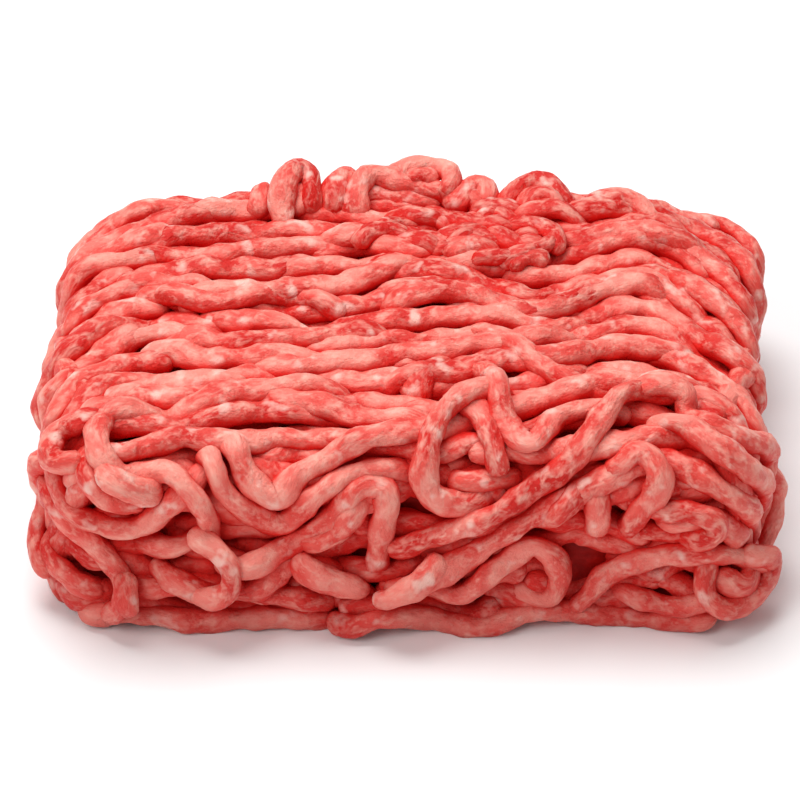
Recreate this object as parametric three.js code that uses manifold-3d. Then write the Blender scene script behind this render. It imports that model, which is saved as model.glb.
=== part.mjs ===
// A block of raw minced meat: long strands run from side to side over the top and down both ends, shorter
// ones hang in loops down the front, and all of them cling to one solid core.
// Millimetres, +Z up, front towards -Y, origin on the floor under the middle of the block.
import * as THREE from "three";
import { mergeVertices } from "three/addons/utils/BufferGeometryUtils.js";
import Module from "manifold-3d";

// Driving sizes of the block and of one strand.
const WIDTH = 147;
const DEPTH = 106;
const HEIGHT = 42;
const STRAND = 5.4;
const CORNER_ROUND = 15;
const EDGE_ROUND = 9;

// The bed: the rounded surface that the middles of the outer strands lie on.
const HALF_X = (WIDTH - STRAND) / 2;
const HALF_Y = (DEPTH - STRAND) / 2;
const TOP = HEIGHT - STRAND / 2;
const FLAT_X = HALF_X - CORNER_ROUND;
const FLAT_Y = HALF_Y - CORNER_ROUND;
const EDGE_START = CORNER_ROUND - EDGE_ROUND;
const EDGE_ARC = (EDGE_ROUND * Math.PI) / 2;
const GIRTH = EDGE_START + EDGE_ARC + TOP - EDGE_ROUND; // from the floor up to the flat of the top
const FOOT_TUCK = 1.5; // how far the walls draw in at the floor
const FOOT_HEIGHT = 7;

// A strand bites into what it crosses, so its contact radius is less than its own.
const CONTACT = 0.6 * (STRAND / 2);
const CELL = 1; // spacing of the height map and of the points along a path

// One stream of seeded draws, each from 0 to 1.
let drawn = 7;
function draw() {
  drawn = (Math.imul(drawn, 1664525) + 1013904223) >>> 0;
  return drawn / 2 ** 32;
}

function between(low, high) {
  return low + (high - low) * draw();
}

function clamp(value, low, high) {
  return Math.min(Math.max(value, low), high);
}

// 0 before start, 1 past end, and a smooth rise between them.
function ramp(value, start, end) {
  const share = clamp((value - start) / (end - start), 0, 1);
  return share * share * (3 - 2 * share);
}

function bump(value, middle, reach) {
  return Math.exp(-(((value - middle) / reach) ** 2));
}

// A wave of two lengths with drawn phases, for what no two strands share.
function wave(size, length) {
  const [first, second] = [between(0, 2 * Math.PI), between(0, 2 * Math.PI)];
  return (s) => size * (0.65 * Math.sin(s / length + first) + 0.35 * Math.sin((2.3 * s) / length + second));
}

// Straight-line interpolation in a table of rising places.
function interpolate(value, places, results) {
  let k = 1;
  while (k < places.length - 1 && value > places[k]) k += 1;
  const share = (value - places[k - 1]) / (places[k] - places[k - 1]);
  return results[k - 1] + share * (results[k] - results[k - 1]);
}

// Slow hills and hollows of the whole block, added to the lift of everything that lies on it.
const HILLS = { height: 0.9, lengthU: 17, lengthV: 13, phase: 1.3 };
const LUMPS = { height: 0.6, lengthU: 8.3, lengthV: 11 };

function unevenness(u, v) {
  const hills = HILLS.height * Math.sin(u / HILLS.lengthU + HILLS.phase) * Math.cos(v / HILLS.lengthV);
  return hills + LUMPS.height * Math.sin(u / LUMPS.lengthU + v / LUMPS.lengthV);
}

// How the soft block sags out of its regular form: the back edge and its corners sink by a share of their
// height, the ends lean outwards at the back, the left back corner is worn off, and the foot of the front
// spreads to both sides and forwards in lobes. Each grows over a stretch of X, Y or Z.
const CENTRING = [-0.4, 2]; // brings the middle of the uneven outline over the origin
const BACK_DROP = 0.05;
const LEFT_DROP = 0.08;
const RIGHT_DROP = 0.12;
const RIGHT_LEAN = 3.2;
const LEFT_LEAN = 1.2;
const LEFT_TUCK = 3.4;
const LEFT_WEAR = 9;
const FOOT_SPREAD = 1.2;
const FOOT_LOBES = [
  { x: -47, reach: 22, size: 3 },
  { x: -6, reach: 9, size: 4 },
  { x: 14, reach: 7, size: 2.5 },
  { x: 60, reach: 14, size: 4 },
];
const [BACK, FRONT, RIGHT_CORNER] = [[5, 50], [0, 40], [44, 66]];
const [END, BACK_END, LEFT_BACK, LEFT_CORNER_BACK] = [[50, 72], [40, 72], [-10, 30], [18, 55]];
const [FOOT, SHOULDERS] = [[4, 24], [22, 38]];

function slump(x, y, z) {
  const left = ramp(-x, ...END);
  const right = ramp(x, ...END);
  const front = ramp(-y, ...FRONT);
  const foot = front * (1 - ramp(z, ...FOOT));
  const rightLean = RIGHT_LEAN * ramp(x, ...BACK_END) * ramp(y, ...FRONT);
  const leftLean = LEFT_LEAN * ramp(-x, ...BACK_END) * ramp(y, ...LEFT_BACK);
  const spread = FOOT_SPREAD * (right - left) * foot;
  const tuck = LEFT_TUCK * left * front * ramp(z, ...SHOULDERS);
  const wear = LEFT_WEAR * left * ramp(y, ...LEFT_CORNER_BACK);
  const creep = foot * FOOT_LOBES.reduce((sum, lobe) => sum + lobe.size * bump(x, lobe.x, lobe.reach), 0);
  const share = BACK_DROP + LEFT_DROP * left + RIGHT_DROP * ramp(x, ...RIGHT_CORNER);
  const drop = share * ramp(y, ...BACK);
  return new THREE.Vector3(x + rightLean + leftLean + spread + tuck, y - wear - creep, z * (1 - drop));
}

// The place in space of a point of the flat sheet (u, v) that is folded over the block, `lift` off the bed.
function onBed(u, v, lift) {
  const nearU = clamp(u, -FLAT_X, FLAT_X);
  const nearV = clamp(v, -FLAT_Y, FLAT_Y);
  const over = Math.hypot(u - nearU, v - nearV);
  const away = over > 0 ? [(u - nearU) / over, (v - nearV) / over] : [0, 0];
  const turn = clamp((over - EDGE_START) / EDGE_ROUND, 0, Math.PI / 2);
  const out = Math.min(over, EDGE_START) + EDGE_ROUND * Math.sin(turn);
  const drop = EDGE_ROUND * (1 - Math.cos(turn)) + Math.max(0, over - EDGE_START - EDGE_ARC);
  const foot = clamp(1 - (TOP - drop) / FOOT_HEIGHT, 0, 1.3);
  const rise = lift + unevenness(u, v) - FOOT_TUCK * foot * foot;
  const reach = out + rise * Math.sin(turn);
  const [x, y] = [nearU + away[0] * reach, nearV + away[1] * reach];
  return slump(x + CENTRING[0], y + CENTRING[1], TOP - drop + rise * Math.cos(turn));
}

// The sheet point at `along` round the block from the front's middle, `up` from the floor over the wall.
const CORNER_ARC = (CORNER_ROUND * Math.PI) / 2;
const [SIDE_X, SIDE_Y] = [2 * FLAT_X, 2 * FLAT_Y];
const LAP = [0, FLAT_X, CORNER_ARC, SIDE_Y, CORNER_ARC, SIDE_X, CORNER_ARC, SIDE_Y, CORNER_ARC, FLAT_X];
const LAP_ENDS = LAP.map((_, k) => LAP.slice(0, k + 1).reduce((sum, length) => sum + length, 0));
const AROUND = LAP_ENDS[LAP_ENDS.length - 1];
const LAP_U = [0, 1, 1, 1, 1, -1, -1, -1, -1, 0].map((side) => side * FLAT_X);
const LAP_V = [-1, -1, -1, 1, 1, 1, 1, -1, -1, -1].map((side) => side * FLAT_Y);
const LAP_TURN = [-1, -1, 0, 0, 1, 1, 2, 2, 3, 3].map((quarters) => (quarters * Math.PI) / 2);

function onWall(along, up) {
  const lap = ((along % AROUND) + AROUND) % AROUND;
  const turn = interpolate(lap, LAP_ENDS, LAP_TURN);
  const over = GIRTH - up;
  return [
    interpolate(lap, LAP_ENDS, LAP_U) + over * Math.cos(turn),
    interpolate(lap, LAP_ENDS, LAP_V) + over * Math.sin(turn),
  ];
}

// The height map of the sheet, in which each strand comes to rest on what lies there already.
const MAP_HALF = 130;
const MAP_SIZE = 2 * MAP_HALF + 1;
const heights = new Float64Array(MAP_SIZE * MAP_SIZE).fill(-2 * CONTACT);
const FOOTPRINT = [];
for (let i = -2; i <= 2; i += 1)
  for (let j = -2; j <= 2; j += 1) {
    const away = Math.hypot(i, j) * CELL;
    if (away < CONTACT) FOOTPRINT.push([i * MAP_SIZE + j, Math.sqrt(CONTACT ** 2 - away ** 2)]);
  }

function cellOf([u, v]) {
  const [i, j] = [u, v].map((value) => clamp(Math.round(value / CELL) + MAP_HALF, 2, MAP_SIZE - 3));
  return i * MAP_SIZE + j;
}

function press(path, lifts) {
  path.forEach((point, k) => {
    for (const [step, cap] of FOOTPRINT) {
      const cell = cellOf(point) + step;
      heights[cell] = Math.max(heights[cell], lifts[k] + cap);
    }
  });
}

function smooth(values, reach, combine) {
  return values.map((_, k) => combine(values.slice(Math.max(0, k - reach), k + reach + 1)));
}

function mean(values) {
  return values.reduce((sum, value) => sum + value, 0) / values.length;
}

function settle(path) {
  const resting = path.map((point) =>
    Math.max(...FOOTPRINT.map(([step, cap]) => heights[cellOf(point) + step] + cap)),
  );
  const highest = smooth(resting, 2, (values) => Math.max(...values));
  return smooth(smooth(highest, 3, mean), 3, mean);
}

// Runs lie side by side from end to end and down the walls. They dip and crest together on the right and
// bend forwards near both ends, where they crowd together and every second one dives below its neighbours.
// Round the front corners they lie deeper, under the strands that hang there.
const RUNS = 20;
const RUN_FRONT = -FLAT_Y - 9;
const RUN_BACK = FLAT_Y + GIRTH + 3;
const RUN_PITCH = (RUN_BACK - RUN_FRONT) / RUNS;
const RUN_END = FLAT_X + GIRTH + 3;
const RIPPLES = [
  { size: 1.7, lengthU: 13, lengthV: 12, phase: 0 },
  { size: 0.9, lengthU: 7.1, lengthV: -15, phase: 2 },
];
const CREST = { u: 47, reach: 10, size: 6 };
const DIP = { u: 28, reach: 9, size: -4.5 };
const CRESTED_ROWS = { v: -2, reach: 26 };
const LEFT_BEND = { start: 47, length: 24, radius: 30 };
const RIGHT_BEND = { start: 50, length: 22, radius: 18 };
const DEEP_CORNER = { depth: 2.4, start: 4, blend: 8, front: 12, frontBlend: 12 };
const DIVE = { depth: 2.6, right: [46, 62], left: [50, 66], leftShare: 0.5 };

function flow(u, v) {
  const ripple = RIPPLES.reduce(
    (sum, { size, lengthU, lengthV, phase }) => sum + size * Math.sin(u / lengthU + v / lengthV + phase),
    0,
  );
  const crest = [CREST, DIP].reduce((sum, { u: at, reach, size }) => sum + size * bump(u, at, reach), 0);
  const bend = u < 0 ? LEFT_BEND : RIGHT_BEND;
  const past = clamp(Math.abs(u) - bend.start, 0, bend.length);
  return ripple + crest * bump(v, CRESTED_ROWS.v, CRESTED_ROWS.reach) - past ** 2 / (2 * bend.radius);
}

// The first and the last run only mark where the skin of the others ends.
const runs = Array.from({ length: RUNS + 2 }, (_, row) => ({
  v: RUN_FRONT + (row - 0.5) * RUN_PITCH,
  stray: wave(0.9, between(6, 12)),
  swell: wave(0.9, between(6, 11)),
  dive: DIVE.depth * ((row + 1) % 2),
}));

function runMiddle(run, u) {
  return run.v + flow(u, run.v) + run.stray(u);
}

function runLift(run, u) {
  const { depth, start, blend, front, frontBlend } = DEEP_CORNER;
  const outwards = clamp((Math.abs(u) - FLAT_X - start) / blend, 0, 1);
  const forwards = clamp((-front - run.v) / frontBlend, 0, 1);
  const crowded = ramp(u, ...DIVE.right) + DIVE.leftShare * ramp(-u, ...DIVE.left);
  return run.swell(u) - depth * outwards * forwards - run.dive * crowded;
}

// The runs as one ribbed skin: three lines of corners a strand, a groove and two shoulders, that meet lines
// across, closer together where the runs crest and turn over the edges. Its inner face lies in the core.
const COLUMNS = [-RUN_END, -83, -70, -58, -45, -31, -17, -4, 8, 19, 28, 37, 46, 55, 63, 71, 83, RUN_END];
const SKIN_DEPTH = 7;
const SHOULDER = STRAND / 4;
const SHOULDER_RISE = 0.43 * STRAND;
const GROOVE_DEPTH = 0.6;

function skinPoint(u, line) {
  const run = runs[Math.floor(line / 3) + 1];
  const side = [0, -1, 1][line % 3];
  if (side !== 0) return [runMiddle(run, u) + side * SHOULDER, runLift(run, u) + SHOULDER_RISE];
  const before = runs[line / 3];
  const lift = (runLift(before, u) + runLift(run, u)) / 2;
  return [(runMiddle(before, u) + runMiddle(run, u)) / 2, lift - GROOVE_DEPTH];
}

function runSkin() {
  const [columns, lines] = [COLUMNS.length - 1, 3 * RUNS];
  const geometry = new THREE.BoxGeometry(1, 1, 1, columns, lines, 1);
  const points = geometry.attributes.position;
  for (let k = 0; k < points.count; k += 1) {
    const u = COLUMNS[Math.round((points.getX(k) + 0.5) * columns)];
    const [v, lift] = skinPoint(u, Math.round((points.getY(k) + 0.5) * lines));
    const point = onBed(u, v, points.getZ(k) > 0 ? lift : -SKIN_DEPTH);
    points.setXYZ(k, point.x, point.y, point.z);
  }
  return geometry;
}

function pressRuns() {
  for (const run of runs.slice(1, -1)) {
    const us = Array.from({ length: Math.floor((2 * RUN_END) / CELL) }, (_, k) => k * CELL - RUN_END);
    press(us.map((u) => [u, runMiddle(run, u)]), us.map((u) => runLift(run, u)));
  }
}

// Strands that hang down the front and lie over the runs, each through a few [along, up] points.
const FOOT_OF_FRONT = [
  [[-66, 2], [-54, 4], [-40, 2], [-26, 3], [-12, 1]],
  [[-54, 9], [-40, 12], [-26, 9], [-13, 6]],
  [[-14, 2], [-2, 5], [12, 1], [28, 4], [46, 1], [64, 4]],
  [[2, 14], [11, 10], [19, 16], [26, 20], [31, 14], [29, 7], [22, 9]],
  [[41, 8], [53, 6], [64, 10]],
  [[-30, 9], [-24, 15], [-18, 16], [-12, 12]],
];
const LEFT_CORNER = [
  [[-84, 38], [-74, 31], [-62, 26], [-52, 25], [-43, 33], [-36, 42]],
  [[-66, 39], [-58, 33], [-50, 30]],
  [[-76, 49], [-64, 42], [-54, 37], [-45, 38], [-38, 30], [-37, 20], [-28, 15]],
  [[-84, 27], [-70, 25], [-59, 18], [-54, 11], [-58, 3]],
  [[-80, 13], [-68, 11], [-60, 7]],
];
const NESTED_LOOPS = [
  [[-34, 46], [-29, 36], [-24, 32], [-20, 38], [-12, 42], [2, 46], [16, 51]],
  [[-38, 43], [-33, 32], [-24, 25], [-17, 32], [-10, 38], [2, 40]],
  [[-36, 17], [-22, 20], [-13, 28], [-8, 35], [-3, 34], [-4, 24], [-5, 13]],
];
const CURL = [
  [[9, 36], [23, 37]],
  [[9, 58], [14, 51], [17, 44], [19, 38]],
  [[22, 57], [11, 51], [5, 42], [5, 34], [11, 30], [18, 32]],
  [[15, 68], [18, 58], [20, 47], [25, 42], [31, 49], [44, 52]],
];
const RIGHT_SWEEPS = [
  [[-3, 11], [12, 18], [28, 29], [40, 37], [52, 40], [64, 32], [76, 17]],
  [[38, 35], [38, 21]],
  [[40, 38], [46, 41], [50, 36], [46, 29], [44, 22]],
  [[-3, 19], [12, 26], [26, 35], [36, 43], [45, 54], [58, 58]],
  [[48, 48], [62, 42], [74, 30], [84, 16]],
  [[46, 57], [60, 52], [74, 40], [86, 27]],
  [[50, 25], [60, 27], [70, 17]],
  [[34, 4], [40, 12], [52, 18], [66, 17], [73, 9], [66, 4]],
];
const OVER_TOP = [
  [[2, 59], [6, 66], [11, 69]],
  [[14, 80], [23, 71], [31, 61], [42, 57]],
  [[-8, 112], [2, 107], [12, 111], [21, 105], [30, 107]],
  [[-50, 93], [-38, 88], [-24, 92], [-12, 87]],
];
const SHORT_ONES = [
  [[-76, 34], [-80, 29], [-82, 22], [-80, 15], [-72, 8]],
  [[-49, 15], [-43, 13], [-38, 11], [-33, 11]],
  [[-20, 20], [-14, 23], [-10, 28], [-7, 32]],
  [[-21, 18], [-17, 15], [-12, 13], [-7, 10]],
  [[-5, 10], [-1, 13], [3, 15], [8, 19]],
  [[48, 28], [53, 30], [57, 30], [61, 27], [59, 23], [54, 21]],
];
const LAID = [...FOOT_OF_FRONT, ...LEFT_CORNER, ...NESTED_LOOPS, ...CURL, ...RIGHT_SWEEPS, ...OVER_TOP];
const SHORT_SUNK = 0.8; // how much deeper the short ones in between lie

// Loops that stand along the back edge, each through a few [u, v, lift] points of the sheet.
const EDGE_LOOPS = [
  [[-30, 39, -0.5], [-30, 42.5, 2.2], [-29.6, 44.8, 3.2], [-28, 45.2, 2.4]],
  [[-25, 34, 0.5], [-25.2, 38.5, 4], [-24.6, 42.5, 6.8], [-22, 44.4, 8], [-19.2, 42, 4], [-18.9, 39, 0.2]],
  [[-14.6, 39, 0], [-14.2, 42.5, 4.2], [-12.6, 45, 6.4], [-9.5, 46, 6.6]],
  [[-10.4, 38, 0], [-9.8, 42, 4.6], [-7.4, 45, 7.2], [1, 45, 6.2], [11, 43.5, 4.6], [17.6, 40, 1]],
  [[-13, 44, 3], [-6, 45, 3.2], [2, 44.5, 2.8], [9, 44.5, 2]],
  [[-2.5, 45, 6.6], [0.2, 46.5, 9], [5.2, 47, 10.2], [9.4, 46, 9], [10.6, 44, 7], [8.6, 42, 4.6]],
  [[9.6, 40, 2.4], [13, 43, 5], [16, 44.5, 5.8], [17.8, 43, 4], [17.6, 39.5, 0]],
  [[20.4, 38.5, 0], [22.6, 42, 3.2], [26.8, 44.5, 5], [31.6, 43.5, 4.2], [35.4, 39.5, 0.2]],
  [[38.2, 40, 0], [41, 41.5, 1.4], [46.4, 42.5, 2], [50.4, 41, 1.2], [53, 38, -0.8]],
];

// A smooth path through the knots, as points one cell apart.
function through(knots) {
  const curve = new THREE.CatmullRomCurve3(knots.map(([x, y, z = 0]) => new THREE.Vector3(x, y, z)));
  return curve.getSpacedPoints(Math.ceil(curve.getLength() / CELL));
}

// The middle line of a strand in space: it rests on what lies there, `sunk` deeper, and its ends sink in.
const SINK_LENGTH = 6;
const SINK = 0.7 * STRAND;

function restingLine(knots, sunk) {
  const path = through(knots).map(({ x, y }) => onWall(x, y));
  const lifts = settle(path);
  press(path, lifts);
  const last = path.length - 1;
  return path.map(([u, v], k) => {
    const toEnd = Math.min(k, last - k) * CELL;
    const dip = SINK * Math.max(0, 1 - toEnd / SINK_LENGTH) ** 2;
    return onBed(u, v, lifts[k] - dip - sunk);
  });
}

const SIDES = 5;
const SWEEP_STEP = 6.8;
const LOOP_STEP = 5;

function sweep(line, diameter, step) {
  const curve = new THREE.CatmullRomCurve3(line.filter((_, k) => k % 3 === 0 || k === line.length - 1));
  const corners = Array.from({ length: SIDES }, (_, k) => {
    const angle = (2 * Math.PI * k) / SIDES;
    return new THREE.Vector2(Math.cos(angle), Math.sin(angle)).multiplyScalar(diameter / 2);
  });
  const steps = Math.max(2, Math.round(curve.getLength() / step));
  return new THREE.ExtrudeGeometry(new THREE.Shape(corners), { steps, extrudePath: curve });
}

// The core: a rounded block a little inside the bed.
const CORE_INSET = STRAND * 0.45;

function coreGeometry() {
  const bevel = EDGE_ROUND - CORE_INSET;
  const outline = new THREE.Shape();
  outline.absarc(FLAT_X, -FLAT_Y, EDGE_START, -Math.PI / 2, 0);
  outline.absarc(FLAT_X, FLAT_Y, EDGE_START, 0, Math.PI / 2);
  outline.absarc(-FLAT_X, FLAT_Y, EDGE_START, Math.PI / 2, Math.PI);
  outline.absarc(-FLAT_X, -FLAT_Y, EDGE_START, Math.PI, 1.5 * Math.PI);
  const geometry = new THREE.ExtrudeGeometry(outline, {
    depth: TOP - CORE_INSET - bevel,
    bevelThickness: bevel,
    bevelSize: bevel,
    bevelSegments: 2,
    curveSegments: 3,
  });
  const points = geometry.attributes.position;
  for (let k = 0; k < points.count; k += 1) {
    const point = slump(points.getX(k) + CENTRING[0], points.getY(k) + CENTRING[1], points.getZ(k));
    points.setXYZ(k, point.x, point.y, point.z);
  }
  return geometry;
}

const wasm = await Module();
wasm.setup();

function toSolid(geometry) {
  geometry.deleteAttribute("normal");
  geometry.deleteAttribute("uv");
  const merged = mergeVertices(geometry, 1e-4);
  return new wasm.Manifold(
    new wasm.Mesh({
      numProp: 3,
      vertProperties: merged.attributes.position.array,
      triVerts: new Uint32Array(merged.index.array),
    }),
  );
}

function toGeometry(solid) {
  const mesh = solid.getMesh();
  return new THREE.BufferGeometry()
    .setAttribute("position", new THREE.BufferAttribute(mesh.vertProperties, 3))
    .setIndex(new THREE.BufferAttribute(mesh.triVerts, 1));
}

// The largest outer body of what fusing left: sealed hollows are filled and loose scraps dropped.
function wholeOf(solid) {
  return solid.decompose().reduce((best, body) => (body.volume() > best.volume() ? body : best));
}

function strand(line, step) {
  return sweep(line, STRAND * between(0.93, 1.07), step);
}

function freeLine(knots) {
  return through(knots).map(({ x, y, z }) => onBed(x, y, z));
}

pressRuns();
const laid = LAID.map((knots) => strand(restingLine(knots, 0), SWEEP_STEP));
const loops = EDGE_LOOPS.map((knots) => strand(freeLine(knots), LOOP_STEP));
const shortOnes = SHORT_ONES.map((knots) => strand(restingLine(knots, SHORT_SUNK), SWEEP_STEP));

const skins = [coreGeometry(), runSkin()];
const floor = toSolid(new THREE.BoxGeometry(2 * WIDTH, 2 * DEPTH, 2 * HEIGHT).translate(0, 0, -HEIGHT));
const fused = wasm.Manifold.union([...skins, ...laid, ...loops, ...shortOnes].map(toSolid)).subtract(floor);

const meat = new THREE.MeshStandardMaterial({ color: "#e0695c", roughness: 0.45, metalness: 0 });
const block = new THREE.Mesh(toGeometry(wholeOf(fused)), meat);
block.name = "mince_block";

const model = new THREE.Group();
model.add(block);

export default model;
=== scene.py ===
import math

import bpy
import numpy as np
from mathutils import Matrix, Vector


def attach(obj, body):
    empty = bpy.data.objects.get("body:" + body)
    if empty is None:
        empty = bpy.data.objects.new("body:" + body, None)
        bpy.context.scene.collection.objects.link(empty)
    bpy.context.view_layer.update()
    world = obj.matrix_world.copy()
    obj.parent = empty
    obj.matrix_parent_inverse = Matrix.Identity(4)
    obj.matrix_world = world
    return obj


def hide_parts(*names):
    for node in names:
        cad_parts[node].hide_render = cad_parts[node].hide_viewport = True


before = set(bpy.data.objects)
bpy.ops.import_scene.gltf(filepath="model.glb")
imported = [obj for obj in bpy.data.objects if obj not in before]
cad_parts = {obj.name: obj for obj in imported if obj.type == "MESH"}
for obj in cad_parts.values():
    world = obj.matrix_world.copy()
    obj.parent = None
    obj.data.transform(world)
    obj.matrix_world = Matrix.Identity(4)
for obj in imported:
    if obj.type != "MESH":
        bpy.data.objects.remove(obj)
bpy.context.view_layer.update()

# The block and its strands, in millimetres, as the solids have them.
WIDTH = 147.0
DEPTH = 106.0
HEIGHT = 42.0
STRAND = 5.4
CORNER_ROUND = 15.0
EDGE_ROUND = 9.0
HALF_X = (WIDTH - STRAND) / 2
HALF_Y = (DEPTH - STRAND) / 2
TOP = HEIGHT - STRAND / 2
FLAT_X = HALF_X - CORNER_ROUND
FLAT_Y = HALF_Y - CORNER_ROUND
EDGE_START = CORNER_ROUND - EDGE_ROUND
EDGE_ARC = EDGE_ROUND * math.pi / 2
GIRTH = EDGE_START + EDGE_ARC + TOP - EDGE_ROUND
FOOT_TUCK = 1.5
FOOT_HEIGHT = 7.0
TUCK_LIMIT = 1.3
CONTACT = 0.6 * STRAND / 2
CENTRING = np.array([-0.4, 2.0, 0.0])
MM = 0.001


DRAW_FACTOR = 1664525
DRAW_STEP = 1013904223
DRAW_RANGE = 2**32
SLOW_SHARE = 0.65
QUICK_SHARE = 0.35
QUICKER = 2.3


class Draws:
    """One stream of seeded draws: each state is the last one times a factor, plus a step, within a range."""

    def __init__(self, seed):
        self.state = seed

    def between(self, low, high):
        """The next draw, from low to high."""
        self.state = (self.state * DRAW_FACTOR + DRAW_STEP) % DRAW_RANGE
        return low + (high - low) * self.state / DRAW_RANGE

    def wave(self, size, length):
        """A wave along s with drawn phases: the sum of a slow sine and a quicker one."""
        first = self.between(0, 2 * math.pi)
        second = self.between(0, 2 * math.pi)
        return lambda s: size * (SLOW_SHARE * np.sin(s / length + first)
                                 + QUICK_SHARE * np.sin(QUICKER * s / length + second))


chance = Draws(7)
fine = Draws(101)  # draws for detail that only the dressed block has


def bump(value, middle, reach):
    """A round bump: 1 at the middle, and the bell curve's fall to both sides."""
    return np.exp(-(((value - middle) / reach) ** 2))


def ramp(value, start, end):
    """0 before start, 1 past end, and a smooth rise between them."""
    share = np.clip((value - start) / (end - start), 0, 1)
    return share * share * (3 - 2 * share)


# How the soft block sags out of its regular form. Each stretch of X, Y or Z is where one share grows, in mm.
BACK_DROP = 0.05
LEFT_DROP = 0.08
RIGHT_DROP = 0.12
RIGHT_LEAN = 3.2
LEFT_LEAN = 1.2
LEFT_TUCK = 3.4
LEFT_WEAR = 9.0
FOOT_SPREAD = 1.2
FOOT_LOBES = [[-47, 22, 3.0], [-6, 9, 4.0], [14, 7, 2.5], [60, 14, 4.0]]  # each at x, with its reach and size
BACK = (5, 50)
FRONT = (0, 40)
END = (50, 72)
BACK_END = (40, 72)
RIGHT_CORNER = (44, 66)
LEFT_BACK = (-10, 30)
LEFT_CORNER_BACK = (18, 55)
FOOT = (4, 24)
SHOULDERS = (22, 38)


def slump(points):
    """Moves points by shares that rise smoothly from 0 to 1: the back edge and its corners sink by a share of
    their height, both ends lean to the right at the back, the left shoulder of the front is tucked in, the
    left back corner is worn off, and the foot of the front spreads to both sides and creeps forwards in
    lobes, which are round bumps along x."""
    x, y, z = points.T
    left = ramp(-x, *END)
    right = ramp(x, *END)
    front = ramp(-y, *FRONT)
    foot = front * (1 - ramp(z, *FOOT))
    right_lean = RIGHT_LEAN * ramp(x, *BACK_END) * ramp(y, *FRONT)
    left_lean = LEFT_LEAN * ramp(-x, *BACK_END) * ramp(y, *LEFT_BACK)
    spread_out = FOOT_SPREAD * (right - left) * foot
    tuck = LEFT_TUCK * left * front * ramp(z, *SHOULDERS)
    wear = LEFT_WEAR * left * ramp(y, *LEFT_CORNER_BACK)
    creep = foot * sum(size * bump(x, at, reach) for at, reach, size in FOOT_LOBES)
    drop = (BACK_DROP + LEFT_DROP * left + RIGHT_DROP * ramp(x, *RIGHT_CORNER)) * ramp(y, *BACK)
    return np.stack([x + right_lean + left_lean + spread_out + tuck, y - wear - creep, z * (1 - drop)], -1)


# The sheet (u, v) that is folded over the block

HILL_SIZE = 0.9
HILL_LENGTH_U = 17
HILL_LENGTH_V = 13
HILL_PHASE = 1.3
SLANT_SIZE = 0.6
SLANT_LENGTH_U = 8.3
SLANT_LENGTH_V = 11


def unevenness(u, v):
    """Slow hills and hollows: a sine of u times a cosine of v, and a shorter sine that slants over both."""
    hills = HILL_SIZE * np.sin(u / HILL_LENGTH_U + HILL_PHASE) * np.cos(v / HILL_LENGTH_V)
    return hills + SLANT_SIZE * np.sin(u / SLANT_LENGTH_U + v / SLANT_LENGTH_V)


def on_bed(u, v, lift):
    """Folds sheet points over the block: flat on top, a quarter circle over the edge and straight down the
    wall, then moved `lift` outwards along the surface."""
    near_u = np.clip(u, -FLAT_X, FLAT_X)
    near_v = np.clip(v, -FLAT_Y, FLAT_Y)
    over = np.hypot(u - near_u, v - near_v)
    safe = np.where(over > 0, over, 1)
    away_u = (u - near_u) / safe
    away_v = (v - near_v) / safe
    turn = np.clip((over - EDGE_START) / EDGE_ROUND, 0, math.pi / 2)
    out = np.minimum(over, EDGE_START) + EDGE_ROUND * np.sin(turn)
    drop = EDGE_ROUND * (1 - np.cos(turn)) + np.maximum(0, over - EDGE_START - EDGE_ARC)
    foot = np.clip(1 - (TOP - drop) / FOOT_HEIGHT, 0, TUCK_LIMIT)
    rise = lift + unevenness(u, v) - FOOT_TUCK * foot * foot
    reach = out + rise * np.sin(turn)
    level = TOP - drop + rise * np.cos(turn)
    points = np.stack([near_u + away_u * reach, near_v + away_v * reach, level], -1)
    outward = np.stack([away_u * np.sin(turn), away_v * np.sin(turn), np.cos(turn)], -1)
    return slump(points.reshape(-1, 3) + CENTRING).reshape(points.shape), outward


# The lap round the block starts at the front's middle: its straights and corners, with their ends.
CORNER_ARC = CORNER_ROUND * math.pi / 2
HALF_LAP = [FLAT_X, CORNER_ARC, 2 * FLAT_Y, CORNER_ARC, FLAT_X]
LAP_PARTS = [0, *HALF_LAP[:-1], 2 * FLAT_X, *HALF_LAP[1:]]
LAP_ENDS = np.cumsum(LAP_PARTS)
AROUND = LAP_ENDS[-1]
LAP_U = np.array([0, 1, 1, 1, 1, -1, -1, -1, -1, 0]) * FLAT_X
LAP_V = np.array([-1, -1, -1, 1, 1, 1, 1, -1, -1, -1]) * FLAT_Y
LAP_TURN = np.array([-1, -1, 0, 0, 1, 1, 2, 2, 3, 3]) * math.pi / 2


def on_wall(along, up):
    """The sheet points at `along` round the block, from the front's middle, and `up` from the floor: the flat
    part's outline, read off between its corners, and from there square outwards by the girth less `up`."""
    lap = np.mod(along, AROUND)
    turn = np.interp(lap, LAP_ENDS, LAP_TURN)
    over = GIRTH - up
    u = np.interp(lap, LAP_ENDS, LAP_U) + over * np.cos(turn)
    v = np.interp(lap, LAP_ENDS, LAP_V) + over * np.sin(turn)
    return u, v


STEPS_TO_KNOT = 24
FEWEST_STEPS = 4
LAID_STEP = 1.0


def curve(knots):
    """A smooth path through the knots: a Catmull-Rom curve with even steps from each knot to the next."""
    ends = np.concatenate([[2 * knots[0] - knots[1]], knots, [2 * knots[-1] - knots[-2]]])
    t = np.linspace(0, 1, STEPS_TO_KNOT + 1)[:-1, None, None]
    a, b, c, d = ends[:-3], ends[1:-2], ends[2:-1], ends[3:]
    path = 0.5 * (2 * b + (c - a) * t + (2 * a - 5 * b + 4 * c - d) * t**2 + (3 * b - a - 3 * c + d) * t**3)
    return np.concatenate([path.transpose(1, 0, 2).reshape(-1, knots.shape[1]), knots[-1:]])


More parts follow.
